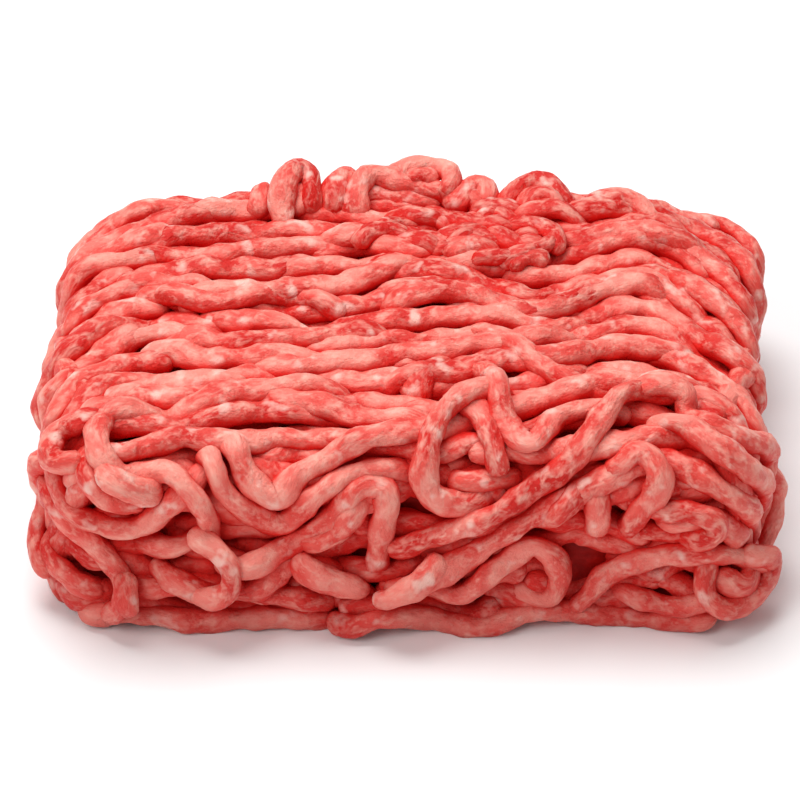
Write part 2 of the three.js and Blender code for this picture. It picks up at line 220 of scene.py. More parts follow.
def even(points, spacing):
    """Cuts a path to even steps, measured over its first three columns, with how far along each step is."""
    run = np.concatenate([[0], np.cumsum(np.linalg.norm(np.diff(points[:, :3], axis=0), axis=1))])
    places = np.linspace(0, run[-1], max(FEWEST_STEPS, int(run[-1] / spacing) + 1))
    return np.stack([np.interp(places, run, column) for column in points.T], -1), places


def through(points):
    """The sheet points of a smooth path through [along, up] points."""
    line, _ = even(curve(np.array(points, float)), LAID_STEP)
    return on_wall(*line.T)


# The pile: each strand comes to rest on what lies there already

MAP_HALF = 130
SPAN = 2
HIGHEST_SPAN = 2
MEAN_SPAN = 3
ACROSS = range(-SPAN, SPAN + 1)
FOOTPRINT = [(i, j, math.sqrt(CONTACT**2 - i * i - j * j)) for i in ACROSS for j in ACROSS
             if i * i + j * j < CONTACT**2]
heights = np.full((2 * MAP_HALF + 1, 2 * MAP_HALF + 1), -2 * CONTACT)


def cells(u, v):
    """The cells of 1 mm of the height map that hold sheet points."""
    nearest = [np.floor(value + 0.5).astype(int) + MAP_HALF for value in (u, v)]
    return [np.clip(cell, SPAN, 2 * MAP_HALF - SPAN) for cell in nearest]


def press(u, v, lifts):
    """Raises the height map to a strand's upper side: a ball of the contact radius at each point."""
    i, j = cells(u, v)
    for di, dj, cap in FOOTPRINT:
        np.maximum.at(heights, (i + di, j + dj), lifts + cap)


def spread(values, reach, combine):
    """Each value combined with its neighbours within reach, fewer at the two ends."""
    padded = np.pad(values, reach, constant_values=np.nan)
    return combine(np.stack([padded[k:k + len(values)] for k in range(2 * reach + 1)]), axis=0)


def settle(u, v):
    """How high a strand's middle comes to rest: the highest touch within a ball, evened out along it."""
    i, j = cells(u, v)
    resting = np.max([heights[i + di, j + dj] + cap for di, dj, cap in FOOTPRINT], axis=0)
    highest = spread(resting, HIGHEST_SPAN, np.nanmax)
    return spread(spread(highest, MEAN_SPAN, np.nanmean), MEAN_SPAN, np.nanmean)


# Runs that lie side by side over the top

RUNS = 20
FRONT_RUNS = 10
RUN_FRONT = -FLAT_Y - 9
RUN_BACK = FLAT_Y + GIRTH + 3
RUN_PITCH = (RUN_BACK - RUN_FRONT) / RUNS
RUN_END = FLAT_X + GIRTH + 3
RUN_SWAY = 0.9
ROW_STEP = 1.0
DIVE = 2.6
RIGHT_CROWD = (46, 62)
LEFT_CROWD = (50, 66)
LEFT_CROWD_SHARE = 0.5
FRONT_CORNER_SINK = 2.4
SINK_START = FLAT_X + 4
SINK_RISE = 8
SINK_FRONT = -12
SINK_DEPTH = 12
STRAY_LENGTHS = (6, 12)
SWELL_LENGTHS = (6, 11)
RIPPLES = [[1.7, 13, 12, 0], [0.9, 7.1, -15, 2]]  # each with its size, its lengths along u and v, and phase
CRESTS = [[47, 10, 6], [28, 9, -4.5]]  # each at u, with its reach and size: the second is a dip
CREST_BAND = (-2, 26)
BENDS = [[-1, 47, 24, 60], [1, 50, 22, 36]]  # each with its side, start, length and slackness


def flow(u, v):
    """How far the runs drift to the back: slanting sines, a crest and a dip on the right as round bumps, and
    a bend forwards at both ends that grows with the square of the way past its start."""
    ripple = sum(size * np.sin(u / along + v / across + phase) for size, along, across, phase in RIPPLES)
    crest = sum(size * bump(u, at, reach) for at, reach, size in CRESTS)
    bend = sum(np.clip(side * u - start, 0, length) ** 2 / slack for side, start, length, slack in BENDS)
    return ripple + crest * bump(v, *CREST_BAND) - bend


def make_run(row):
    """One row: where it lies, its drawn sway and swell, and whether it dives where rows crowd together."""
    return {
        "v": RUN_FRONT + (row - 0.5) * RUN_PITCH,
        "stray": chance.wave(RUN_SWAY, chance.between(*STRAY_LENGTHS)),
        "swell": chance.wave(RUN_SWAY, chance.between(*SWELL_LENGTHS)),
        "dive": DIVE * ((row + 1) % 2),
    }


def run_lift(run, u):
    """How high a row lies: its swell, less a sink round the front corners, where strands hang over it, and
    less the dive of every second row where they crowd together towards both ends."""
    outwards = np.clip((np.abs(u) - SINK_START) / SINK_RISE, 0, 1)
    forwards = min(max((SINK_FRONT - run["v"]) / SINK_DEPTH, 0), 1)
    crowded = ramp(u, *RIGHT_CROWD) + LEFT_CROWD_SHARE * ramp(-u, *LEFT_CROWD)
    return run["swell"](u) - FRONT_CORNER_SINK * outwards * forwards - run["dive"] * crowded


# Strands placed one by one, each through a few [along, up] points

FOOT_OF_FRONT = [
    [[-66, 2], [-54, 4], [-40, 2], [-26, 3], [-12, 1]],
    [[-54, 9], [-40, 12], [-26, 9], [-13, 6]],
    [[-14, 2], [-2, 5], [12, 1], [28, 4], [46, 1], [64, 4]],
    [[2, 14], [11, 10], [19, 16], [26, 20], [31, 14], [29, 7], [22, 9]],
    [[41, 8], [53, 6], [64, 10]],
    [[-30, 9], [-24, 15], [-18, 16], [-12, 12]],
]
LEFT_CORNER = [
    [[-84, 38], [-74, 31], [-62, 26], [-52, 25], [-43, 33], [-36, 42]],
    [[-66, 39], [-58, 33], [-50, 30]],
    [[-76, 49], [-64, 42], [-54, 37], [-45, 38], [-38, 30], [-37, 20], [-28, 15]],
    [[-84, 27], [-70, 25], [-59, 18], [-54, 11], [-58, 3]],
    [[-80, 13], [-68, 11], [-60, 7]],
]
NESTED_LOOPS = [
    [[-34, 46], [-29, 36], [-24, 32], [-20, 38], [-12, 42], [2, 46], [16, 51]],
    [[-38, 43], [-33, 32], [-24, 25], [-17, 32], [-10, 38], [2, 40]],
    [[-36, 17], [-22, 20], [-13, 28], [-8, 35], [-3, 34], [-4, 24], [-5, 13]],
]
CURL = [
    [[9, 36], [23, 37]],
    [[9, 58], [14, 51], [17, 44], [19, 38]],
    [[22, 57], [11, 51], [5, 42], [5, 34], [11, 30], [18, 32]],
    [[15, 68], [18, 58], [20, 47], [25, 42], [31, 49], [44, 52]],
]
RIGHT_SWEEPS = [
    [[-3, 11], [12, 18], [28, 29], [40, 37], [52, 40], [64, 32], [76, 17]],
    [[38, 35], [38, 21]],
    [[40, 38], [46, 41], [50, 36], [46, 29], [44, 22]],
    [[-3, 19], [12, 26], [26, 35], [36, 43], [45, 54], [58, 58]],
    [[48, 48], [62, 42], [74, 30], [84, 16]],
    [[46, 57], [60, 52], [74, 40], [86, 27]],
    [[50, 25], [60, 27], [70, 17]],
    [[34, 4], [40, 12], [52, 18], [66, 17], [73, 9], [66, 4]],
]
OVER_TOP = [
    [[2, 59], [6, 66], [11, 69]],
    [[14, 80], [23, 71], [31, 61], [42, 57]],
    [[-8, 112], [2, 107], [12, 111], [21, 105], [30, 107]],
    [[-50, 93], [-38, 88], [-24, 92], [-12, 87]],
]
# Loops that stand along the back edge, each through a few [u, v, lift] points of the sheet.
EDGE_LOOPS = [
    [[-30, 39, -0.5], [-30, 42.5, 2.2], [-29.6, 44.8, 3.2], [-28, 45.2, 2.4]],
    [[-25, 34, 0.5], [-25.2, 38.5, 4.0], [-24.6, 42.5, 6.8], [-22, 44.4, 8.0], [-19.8, 43.8, 6.8],
     [-19.2, 42, 4.0], [-18.9, 39, 0.2]],
    [[-14.6, 39, 0], [-14.2, 42.5, 4.2], [-12.6, 45, 6.4], [-9.5, 46, 6.6]],
    [[-10.4, 38, 0], [-9.8, 42, 4.6], [-7.4, 45, 7.2], [-3.4, 45.5, 7.4], [1, 45, 6.2], [6, 44.5, 5.2],
     [11, 43.5, 4.6], [15.5, 42, 3.6], [17.6, 40, 1.0]],
    [[-13, 44, 3.0], [-6, 45, 3.2], [2, 44.5, 2.8], [9, 44.5, 2.0]],
    [[-2.5, 45, 6.6], [0.2, 46.5, 9.0], [5.2, 47, 10.2], [9.4, 46, 9.0], [10.6, 44, 7.0], [8.6, 42, 4.6]],
    [[9.6, 40, 2.4], [13, 43, 5.0], [16, 44.5, 5.8], [17.8, 43, 4.0], [17.6, 39.5, 0.0]],
    [[20.4, 38.5, 0], [22.6, 42, 3.2], [26.8, 44.5, 5.0], [31.6, 43.5, 4.2], [35.4, 39.5, 0.2]],
    [[23.8, 37.5, 0.6], [27.4, 40.5, 3.6], [31, 40.5, 3.6], [33.4, 37.5, 0.6]],
    [[38.2, 40, 0], [41, 41.5, 1.4], [46.4, 42.5, 2.0], [50.4, 41, 1.2], [53, 38, -0.8]],
    [[-22.2, 38, 0.5], [-22.1, 41.5, 3.2], [-21.9, 44, 4.4]],
    [[0, 45.2, 7.2], [4, 45.6, 7.8], [8, 45.2, 7.2]],
]
# Shorter strands of the front that lie between the large ones.
FRONT_MORE = [
    [[-60, 38], [-55, 36], [-51, 35], [-47, 33]],
    [[-76, 34], [-80, 29], [-82, 22], [-80, 15], [-72, 8]],
    [[-52, 19], [-45, 20], [-39, 22]],
    [[-49, 15], [-43, 13], [-38, 11], [-33, 11]],
    [[-54, 15], [-54, 6]],
    [[-20, 20], [-14, 23], [-10, 28], [-7, 32]],
    [[-21, 18], [-17, 15], [-12, 13], [-7, 10]],
    [[-5, 10], [-1, 13], [3, 15], [8, 19]],
    [[-41, 24], [-36, 23], [-33, 18], [-35, 13], [-41, 11]],
    [[27, 25], [31, 30], [35, 35]],
    [[48, 28], [53, 30], [57, 30], [61, 27], [59, 23], [54, 21]],
    [[61, 17], [59, 12], [63, 7], [70, 8], [73, 13], [67, 17]],
    [[-70, 45], [-75, 43], [-77, 38], [-72, 35], [-66, 38]],
    [[62, 13], [66, 11], [70, 13]],
    [[84, 25], [86, 17], [85, 9], [80, 3]],
]
# Strands of both ends, sunk deeper between the rows that come down there.
END_MORE = [
    [[-84, 46], [-96, 40], [-108, 34], [-122, 30]],
    [[86, 44], [98, 38], [110, 33], [124, 30]],
    [[-92, 24], [-104, 18], [-116, 16]],
    [[90, 18], [102, 12], [116, 10]],
]
SINK = 0.7 * STRAND
SINK_LENGTH = 6.0
FRONT_MORE_SUNK = 0.8
END_MORE_SUNK = 3.4
FREE_STEP = 0.5

# How thick strands are, as shares of the strand's width, and how pale, from redder below 0 to paler above it.
LAID_WIDTHS = (0.81, 0.93)
FREE_WIDTHS = (0.92, 1.02)
RIDER_WIDTHS = (0.92, 1.04)
SCRAP_WIDTHS = (0.62, 0.86)
ROW_WIDTHS = (0.86, 1.02)
UNDER_ROW_WIDTHS = (0.9, 1.0)
WALL_ROW_WIDTHS = (0.9, 1.05)
ANY_TONE = (-1, 1)
FREE_TONES = (-0.6, 1)
SCRAP_TONES = (-2.6, -0.4)
# Painted shade: the deep strands under the rows and along the front wall get redder tones.
UNDER_ROW_SHADE_TONES = (-2.4, -0.6)
WALL_ROW_SHADE_TONES = (-2.8, -0.4)

strands = []


def keep(group, u, v, lifts, diameter, tone):
    """Keeps a strand that lies along sheet points, each lifted off the block, for the surfaces below."""
    strands.append({"group": group, "u": u, "v": v, "lifts": lifts, "diameter": diameter, "tone": tone})


def end_dip(u):
    """How far a strand's ends sink in: the square of what is left of the last few millimetres."""
    k = np.arange(len(u))
    return SINK * np.maximum(0, 1 - np.minimum(k, k[::-1]) / SINK_LENGTH) ** 2


def lay(group, points, sunk=0.0):
    """Lays a strand on the pile, where its ends sink in, and the whole of it by `sunk`."""
    u, v = through(points)
    lifts = settle(u, v)
    press(u, v, lifts)
    diameter = STRAND * chance.between(*LAID_WIDTHS)
    keep(group, u, v, lifts - end_dip(u) - sunk, diameter, fine.between(*ANY_TONE))


def lay_free(group, points):
    """Carries a strand through [u, v, lift] points of the sheet, whatever lies below it."""
    line, _ = even(curve(np.array(points, float)), FREE_STEP)
    keep(group, *line.T, STRAND * fine.between(*FREE_WIDTHS), fine.between(*FREE_TONES))


RIDERS = 13
RIDER_SINK = 1.3
RIDER_HIGHEST = 2.6
RIDER_HALVES = (14, 34)
RIDER_LEFT = -60
RIDER_RIGHT = 58
RIDER_INWARDS = 0.6
RIDER_ROWS = (-36, 36)
RIDER_SLOPES = (0.08, 0.2)
RIDER_WEAVE = 1.4
RIDER_WEAVE_LENGTHS = (4, 8)
EITHER_SIDE = (-1, 1)


def lay_rider():
    """A long strand that lies askew on the rows of the top and sinks half into them."""
    half = fine.between(*RIDER_HALVES)
    middle_u = fine.between(RIDER_LEFT + half * RIDER_INWARDS, RIDER_RIGHT - half * RIDER_INWARDS)
    middle_v = fine.between(*RIDER_ROWS)
    slope = fine.between(*RIDER_SLOPES) * (1 if fine.between(*EITHER_SIDE) > 0 else -1)
    weave = fine.wave(RIDER_WEAVE, fine.between(*RIDER_WEAVE_LENGTHS))
    u = np.arange(middle_u - half, middle_u + half, ROW_STEP)
    v = middle_v + flow(u, middle_v) + slope * (u - middle_u) + weave(u)
    lifts = np.minimum(settle(u, v) - RIDER_SINK, RIDER_HIGHEST)
    diameter = STRAND * fine.between(*RIDER_WIDTHS)
    keep("top_strays", u, v, lifts - end_dip(u), diameter, fine.between(*ANY_TONE))


SCRAPS = 34
SCRAP_SINK = 1.2
SCRAP_HIGHEST = 4.5
SCRAP_PRESS = 1.6
SCRAP_DIP = 0.6
SCRAP_STEP = 0.5
SCRAP_HALVES = (3, 8)
SCRAP_HEADINGS = (-0.9, 0.9)
SCRAP_BENDS = (-0.16, 0.16)
TANGLE_U = (-9, 33)
TANGLE_V = (17, 38)


def lay_scrap():
    """A short bent end of a thinner strand, in the tangle at the back of the top: a parabola, turned about
    its middle by a drawn heading."""
    middle_u = fine.between(*TANGLE_U)
    middle_v = fine.between(*TANGLE_V)
    heading = fine.between(*SCRAP_HEADINGS)
    half = fine.between(*SCRAP_HALVES)
    bend = fine.between(*SCRAP_BENDS)
    s = np.arange(-half, half, SCRAP_STEP)
    aside = 0.5 * bend * s * s
    u = middle_u + s * math.cos(heading) - aside * math.sin(heading)
    v = middle_v + s * math.sin(heading) + aside * math.cos(heading)
    resting = settle(u, v)
    press(u, v, resting - SCRAP_PRESS)
    lifts = np.minimum(resting - SCRAP_SINK, SCRAP_HIGHEST) - SCRAP_DIP * end_dip(u)
    keep("tangle", u, v, lifts, STRAND * fine.between(*SCRAP_WIDTHS), fine.between(*SCRAP_TONES))


# Holes between the rows of the top, each at u and v, with its depth.
HOLES = [[-15, -5, 3.4], [15, -14, 3.2], [20, -15, 3.0], [5, 22, 3.2], [32, -14, 2.6], [-33, 12, 2.2],
         [-52, 2, 2.2], [-44, -22, 2.0], [44, 16, 2.0]]
HOLE_LENGTH = 6
HOLE_BREADTH = 3.2


def hollow(u, v):
    """How far the rows sink round each hole between them: round bumps, longer along the rows."""
    return sum(deep * bump(u, hole_u, HOLE_LENGTH) * bump(v, hole_v, HOLE_BREADTH)
               for hole_u, hole_v, deep in HOLES)


PIECE_LENGTHS = (34, 88)
SHORTEST_PIECE = 18
OVERLAP = 4
SWING_LENGTH = 12
SWING_ASIDE = 2.2
SWING_UP = 0.9
PIECE_END = 5
PIECE_END_DIP = 1.6
ROW_WEAVE = 0.9
ROW_WEAVE_LENGTHS = (2.6, 5.0)
ROW_HEAVE = 0.8
ROW_HEAVE_LENGTHS = (3, 6)


def lay_row(run, group):
    """A row of the top, as strands laid end to end: where two meet, one end swings back and rides up."""
    weave = fine.wave(ROW_WEAVE, fine.between(*ROW_WEAVE_LENGTHS))
    heave = fine.wave(ROW_HEAVE, fine.between(*ROW_HEAVE_LENGTHS))
    start = -RUN_END
    aside = fine.between(*EITHER_SIDE)
    while start < RUN_END:
        stop = start + fine.between(*PIECE_LENGTHS)
        if stop > RUN_END - SHORTEST_PIECE:
            stop = RUN_END
        u = np.arange(start - OVERLAP, stop + OVERLAP, ROW_STEP)
        next_aside = fine.between(*EITHER_SIDE)
        first_swing = aside * (1 - ramp(u, start - OVERLAP, start + SWING_LENGTH))
        swing = first_swing - next_aside * ramp(u, stop - SWING_LENGTH, stop + OVERLAP)
        v = run["v"] + flow(u, run["v"]) + run["stray"](u) + weave(u) + SWING_ASIDE * swing
        lifts = run_lift(run, u) + heave(u) + SWING_UP * swing - hollow(u, v)
        from_end = np.minimum(u - u[0], u[-1] - u)
        dip = PIECE_END_DIP * np.maximum(0, 1 - from_end / PIECE_END) ** 2
        keep(group, u, v, lifts - dip, STRAND * fine.between(*ROW_WIDTHS), fine.between(*ANY_TONE))
        start = stop
        aside = next_aside


UNDER_ROW_DEPTH = 3.6
UNDER_ROW_WEAVE = 1.2
UNDER_ROW_WEAVE_LENGTHS = (3, 6)
UNDER_ROW_HEAVE = 0.7
UNDER_ROW_HEAVE_LENGTH = 5.0


def lay_under_row(run):
    """A strand below and between two rows, that shows at the bottom of the groove, in a redder tone as
    painted shade.
    """
    weave = fine.wave(UNDER_ROW_WEAVE, fine.between(*UNDER_ROW_WEAVE_LENGTHS))
    u = np.arange(-RUN_END, RUN_END, ROW_STEP)
    middle = run["v"] + RUN_PITCH / 2
    heave = fine.wave(UNDER_ROW_HEAVE, UNDER_ROW_HEAVE_LENGTH)
    keep("rows_under", u, middle + flow(u, middle) + weave(u), heave(u) - UNDER_ROW_DEPTH,
         STRAND * fine.between(*UNDER_ROW_WIDTHS), fine.between(*UNDER_ROW_SHADE_TONES))


# Holes between the deep strands of the front wall, each at `along` and `up`, with its reach and depth.
WALL_HOLES = [[36.5, 14, 4.0, 6.5], [3, 31, 4.5, 4.5], [-60, 32, 4.5, 4.5], [-46, 21, 4.5, 3.5],
              [-14, 11, 4.5, 3.5], [16, 8, 4.5, 3.5]]
WALL_ROWS = [4.0, 9.0, 14.0, 19.0, 24.0, 29.0, 34.0, 39.0, 44.0]
WALL_ROW_START = -86.0
WALL_ROW_STOP = 88
WALL_ROW_DEPTH = 4.4
WALL_PIECE_LENGTHS = (26, 60)
WALL_ROW_HEAVE = 2.6
WALL_ROW_HEAVE_LENGTHS = (3, 8)
WALL_ROW_SWAY = 0.9
WALL_ROW_SWAY_LENGTH = 5.0


def wall_hollow(along, up):
    """How far the deep strands sink at each hole of the front wall: round bumps."""
    return sum(deep * bump(along, at, reach) * bump(up, level, reach)
               for at, level, reach, deep in WALL_HOLES)


def lay_wall_row(up):
    """Strands laid end to end along the front wall, deep enough to show only between the loops, in redder
    tones as painted shade.
    """
    start = WALL_ROW_START
    while start < WALL_ROW_STOP - OVERLAP:
        stop = min(start + fine.between(*WALL_PIECE_LENGTHS), WALL_ROW_STOP)
        heave = fine.wave(WALL_ROW_HEAVE, fine.between(*WALL_ROW_HEAVE_LENGTHS))
        sway = fine.wave(WALL_ROW_SWAY, WALL_ROW_SWAY_LENGTH)
        along = np.arange(start, stop, ROW_STEP)
        climb = up + heave(along)
        u, v = on_wall(along, climb)
        lifts = sway(along) - WALL_ROW_DEPTH - wall_hollow(along, climb)
        diameter = STRAND * fine.between(*WALL_ROW_WIDTHS)
        keep("under_front", u, v, lifts, diameter, fine.between(*WALL_ROW_SHADE_TONES))
        start = stop - OVERLAP


def lay_rows():
    """All rows of the top, from front to back, with a strand in the groove behind each. The outermost run on
    each side lies outside the stretch that the rows fill, so it is left out."""
    runs = [make_run(row) for row in range(RUNS + 2)]
    for k, run in enumerate(runs[1:-1]):
        u = np.arange(-RUN_END, RUN_END, ROW_STEP)
        press(u, run["v"] + flow(u, run["v"]) + run["stray"](u), run_lift(run, u))
        lay_row(run, "rows_front" if k < FRONT_RUNS else "rows_back")
        lay_under_row(run)


def lay_all():
    """Lays every strand, in the order in which they come to rest on each other."""
    lay_rows()
    for points in [*FOOT_OF_FRONT, *LEFT_CORNER, *NESTED_LOOPS, *CURL, *RIGHT_SWEEPS]:
        lay("front_loops", points)
    for points in OVER_TOP:
        lay("top_strays", points)
    for points in EDGE_LOOPS:
        lay_free("edge_loops", points)
    for points in FRONT_MORE:
        lay("front_more", points, sunk=FRONT_MORE_SUNK)
    for points in END_MORE:
        lay("front_more", points, sunk=END_MORE_SUNK)
    for _ in range(RIDERS):
        lay_rider()
    for _ in range(SCRAPS):
        lay_scrap()
    for up in WALL_ROWS:
        lay_wall_row(up)


# Surfaces

RING_STEP = 0.8
RING_SIDES = 16
SOFTENING = 3
# Swells of a strand: size as a share of its radius, turns round the ring, length along it, and which phase.
SWELLS = [[0.07, 0, 2.9, 0], [0.05, 0, 1.3, 1], [0.05, 0, 5.3, 2], [0.05, 2, 1.7, 3], [0.045, 3, -1.1, 4],
          [0.04, 1, 2.3, 5], [0.035, 4, 0.7, 6]]
SQUASHES = [[0.09, 7.3, 6], [0.07, 3.9, 0]]  # each with its share, its length along, and which phase
CLOSED_END = 0.0025
BREADTH = 1.07
FLATNESS = 0.95
FLATTENING = 0.7
TINY = 1e-6
SPACE_BETWEEN = 97.0
SMALLEST_REACH = 0.3
INNER_SHARE = 0.55


def soften(points, passes):
    """Evens out a line: each inner point becomes half of itself and a quarter of each neighbour."""
    for _ in range(passes):
        points[1:-1] = 0.5 * points[1:-1] + 0.25 * (points[:-2] + points[2:])
    return points


def unit(vectors):
    """Each vector divided by its length."""
    return vectors / np.maximum(np.linalg.norm(vectors, axis=1, keepdims=True), TINY)


def middle_line(strand):
    """A strand's middle line at even steps: how far along, where, and the directions sideways and upwards."""
    centre, outward = on_bed(strand["u"], strand["v"], strand["lifts"])
    line, s = even(soften(np.concatenate([centre, outward], 1), SOFTENING), RING_STEP)
    middle = line[:, :3]
    ahead = unit(np.gradient(middle, axis=0))
    side = unit(np.cross(ahead, line[:, 3:]))
    return s, middle, side, np.cross(side, ahead)


def ring_reach(s, angle, radius, phases):
    """How far each ring point is from the middle line: the radius, swollen by sines that run along and round
    the strand, and drawn in at both ends as half balls are."""
    swell = sum(size * np.sin(angle[None] * turns + s[:, None] / length + phases[phase])
                for size, turns, length, phase in SWELLS)
    left = np.minimum(s, s[-1] - s)
    cap = np.sqrt(np.clip(1 - (1 - np.clip(left / radius, 0, 1)) ** 2, CLOSED_END, 1))
    return radius * cap[:, None] * (1 + swell)


def make_tube(strand, index):
    """Carries a soft ring along the strand's middle line. Each ring lies square to the line, a little wider
    than high, by a share that changes along it with two sines."""
    s, middle, side, above = middle_line(strand)
    angle = np.arange(RING_SIDES) * 2 * math.pi / RING_SIDES
    phases = [fine.between(0, 2 * math.pi) for _ in SWELLS]
    reach = ring_reach(s, angle, strand["diameter"] / 2, phases)
    squash = sum(size * np.sin(s / length + phases[phase]) for size, length, phase in SQUASHES)
    across = reach * np.cos(angle) * (BREADTH + squash)[:, None]
    high = reach * np.sin(angle) * (FLATNESS - FLATTENING * squash)[:, None]
    points = middle[:, None] + across[..., None] * side[:, None] + high[..., None] * above[:, None]
    along = np.broadcast_to(s[:, None] + SPACE_BETWEEN * index, reach.shape)
    space = np.stack([along, reach * np.cos(angle), reach * np.sin(angle)], -1)
    facing = (points - middle[:, None]) / np.maximum(reach, SMALLEST_REACH)[..., None]
    inner = INNER_SHARE * points + (1 - INNER_SHARE) * middle[:, None]
    return {
        "points": points.reshape(-1, 3),
        "space": space.reshape(-1, 3),
        "facing": facing.reshape(-1, 3),
        "inner": np.concatenate([inner.reshape(-1, 3), middle]),
        "rings": len(s),
        "tone": strand["tone"],
        "group": strand["group"],
    }


CROWD_CORNER = np.array([-90, -70, -6])
CROWD_CELLS = (180, 140, 70)
CROWD_CORE_SIDE = 6
CROWD_CORE_TOP = 5
BLUR_PASSES = 3
BLUR_SHIFTS = (-2, -1, 0, 1, 2)
NEAR = 2.0
FAR = 4.5
NEAR_SHARE = 0.65
FAR_SHARE = 0.45
# How much more painted shade falls on points turned downwards.
UNDERSIDE_SHADE_SHARE = 0.07


def blurred(grid):
    """Spreads each cell of 1 mm over its neighbours: three running means of 5 cells along each axis."""
    for axis in (0, 1, 2):
        for _ in range(BLUR_PASSES):
            grid = sum(np.roll(grid, shift, axis) for shift in BLUR_SHIFTS) / len(BLUR_SHIFTS)
    return grid


def crowd_cells(points):
    """The cell that holds each point, as three whole numbers from the corner of the grid."""
    return tuple(np.clip((points - CROWD_CORNER).astype(int), 1, np.array(CROWD_CELLS) - 2).T)


def crowding(tubes):
    """For each tube point, how full of meat the space in front of it is, from 0 in the open to 1 in a crease:
    a weighted sum of the blurred fill at a near and a far step outwards, with a little more below. It is
    the mask of the painted shade in the creases and on the undersides."""
    grid = np.zeros(CROWD_CELLS)
    grid[crowd_cells(np.concatenate([tube["inner"] for tube in tubes]))] = 1
    sides = [np.arange(count) + low for count, low in zip(CROWD_CELLS, CROWD_CORNER)]
    x, y, z = np.meshgrid(*sides, indexing="ij")
    within = (np.abs(x) < HALF_X - CROWD_CORE_SIDE) & (np.abs(y) < HALF_Y - CROWD_CORE_SIDE)
    grid[within & (z < TOP - CROWD_CORE_TOP) & (z > 0)] = 1
    grid = blurred(grid)
    for tube in tubes:
        near, far = [grid[crowd_cells(tube["points"] + step * tube["facing"])] for step in (NEAR, FAR)]
        # The mask of painted shade: fill near and far in front of each point, and a little more where it
        # faces down.
        tube["shade_mask"] = NEAR_SHARE * near + FAR_SHARE * far + UNDERSIDE_SHADE_SHARE * (1 - tube["facing"][:, 2])


# Where the meat is redder or paler: x, y, the reach along each, and the change of tone.
BLUSHES = [[16, 34, 24, 13, -1.3], [5, 28, 9, 5, -1.2], [20, 29, 9, 5, -1.2], [-13, 1, 13, 5, -1.8],
           [-46, 36, 10, 5, -0.8], [46, 6, 18, 22, 0.9], [-40, -4, 18, 16, 0.6], [50, -56, 24, 16, -0.9],
           [-50, -50, 18, 20, 0.6]]


def blush(points):
    """The change of tone at each point: round bumps over the plan of the block."""
    x, y, _ = points.T
    return sum(size * bump(x, at_x, reach_x) * bump(y, at_y, reach_y)
               for at_x, at_y, reach_x, reach_y, size in BLUSHES)


def ring_faces(rings, sides, start):
    """Quads between neighbouring rings, wound to face outwards, and one face over each end ring."""
    k = np.arange(rings - 1)[:, None] * sides
    j = np.arange(sides)[None]
    beside = (j + 1) % sides
    quads = np.stack([k + j, k + sides + j, k + sides + beside, k + beside], -1).reshape(-1, 4) + start
    first = np.arange(sides) + start
    last = first[::-1] + (rings - 1) * sides
    return quads, [first.tolist(), last.tolist()]


def put_mesh(name, points, faces, material, attributes=()):
    """Makes a piece of points in millimetres, none below the floor, that stands for the block."""
    mesh = bpy.data.meshes.new(name)
    above_floor = np.column_stack([points[:, :2], np.maximum(points[:, 2], 0.0)])
    mesh.from_pydata((above_floor * MM).tolist(), [], faces)
    for label, kind, values in attributes:
        layer = mesh.attributes.new(label, kind, "POINT")
        field = "vector" if kind == "FLOAT_VECTOR" else "value"
        layer.data.foreach_set(field, values.astype(np.float32).ravel())
    mesh.polygons.foreach_set("use_smooth", np.ones(len(mesh.polygons), bool))
    mesh.materials.append(material)
    mesh.update()
    piece = bpy.data.objects.new(name, mesh)
    bpy.context.scene.collection.objects.link(piece)
    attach(piece, "root")
    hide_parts("mince_block")


def build_group(group, tubes, material):
    """One piece of all the strands of a group, with the values that its material reads at each point."""
    mine = [tube for tube in tubes if tube["group"] == group]
    faces = []
    start = 0
    for tube in mine:
        quads, ends = ring_faces(tube["rings"], RING_SIDES, start)
        faces += quads.tolist() + ends
        start += len(tube["points"])
    put_mesh("mince_" + group, np.concatenate([tube["points"] for tube in mine]), faces, material, [
        ("strand_space", "FLOAT_VECTOR", np.concatenate([tube["space"] for tube in mine])),
        ("shade_mask", "FLOAT", np.concatenate([tube["shade_mask"] for tube in mine])),
        ("tone", "FLOAT", np.concatenate([tube["tone"] + blush(tube["points"]) for tube in mine])),
    ])


CORE_INSET = 7.0
CORE_SIDES = 64
CORE_BENDS = 6
CORE_FOOT = 0.3
CORE_WALL_START = 6.0
CORE_FOOT_BEVEL = 2.0
CORE_POLE_SHARE = 0.02
CORE_POLE = 0.1


def build_core(material):
    """The block's inside: rings shaped as rounded rectangles, from the middle of the underside out to the
    foot, up the wall, over a quarter-round edge and in to the middle of the top."""
    corner = np.linspace(0, 2 * math.pi, CORE_SIDES, endpoint=False)
    corner_u = np.sign(np.cos(corner + TINY)) * FLAT_X
    corner_v = np.sign(np.sin(corner + TINY)) * FLAT_Y
    bend = np.linspace(0, math.pi / 2, CORE_BENDS)
    out = CORNER_ROUND - CORE_INSET
    edge = EDGE_ROUND - CORE_INSET
    shares = [CORE_POLE_SHARE, 1, 1] + [1] * CORE_BENDS + [CORE_POLE_SHARE]
    reaches = [CORE_POLE, out - CORE_FOOT_BEVEL, out, *(out - edge + edge * np.cos(bend)), CORE_POLE]
    levels = [CORE_FOOT, CORE_FOOT, CORE_WALL_START, *(TOP - CORE_INSET - edge + edge * np.sin(bend)),
              TOP - CORE_INSET]
    share, reach, level = [np.array(column)[:, None] for column in (shares, reaches, levels)]
    x = share * corner_u + reach * np.cos(corner)
    y = share * corner_v + reach * np.sin(corner)
    rings = np.stack([x, y, np.broadcast_to(level, x.shape)], -1)
    quads, ends = ring_faces(len(rings), CORE_SIDES, 0)
    faces = [face[::-1] for face in quads.tolist() + ends]
    put_mesh("mince_core", slump(rings.reshape(-1, 3) + CENTRING), faces, material)


# Materials

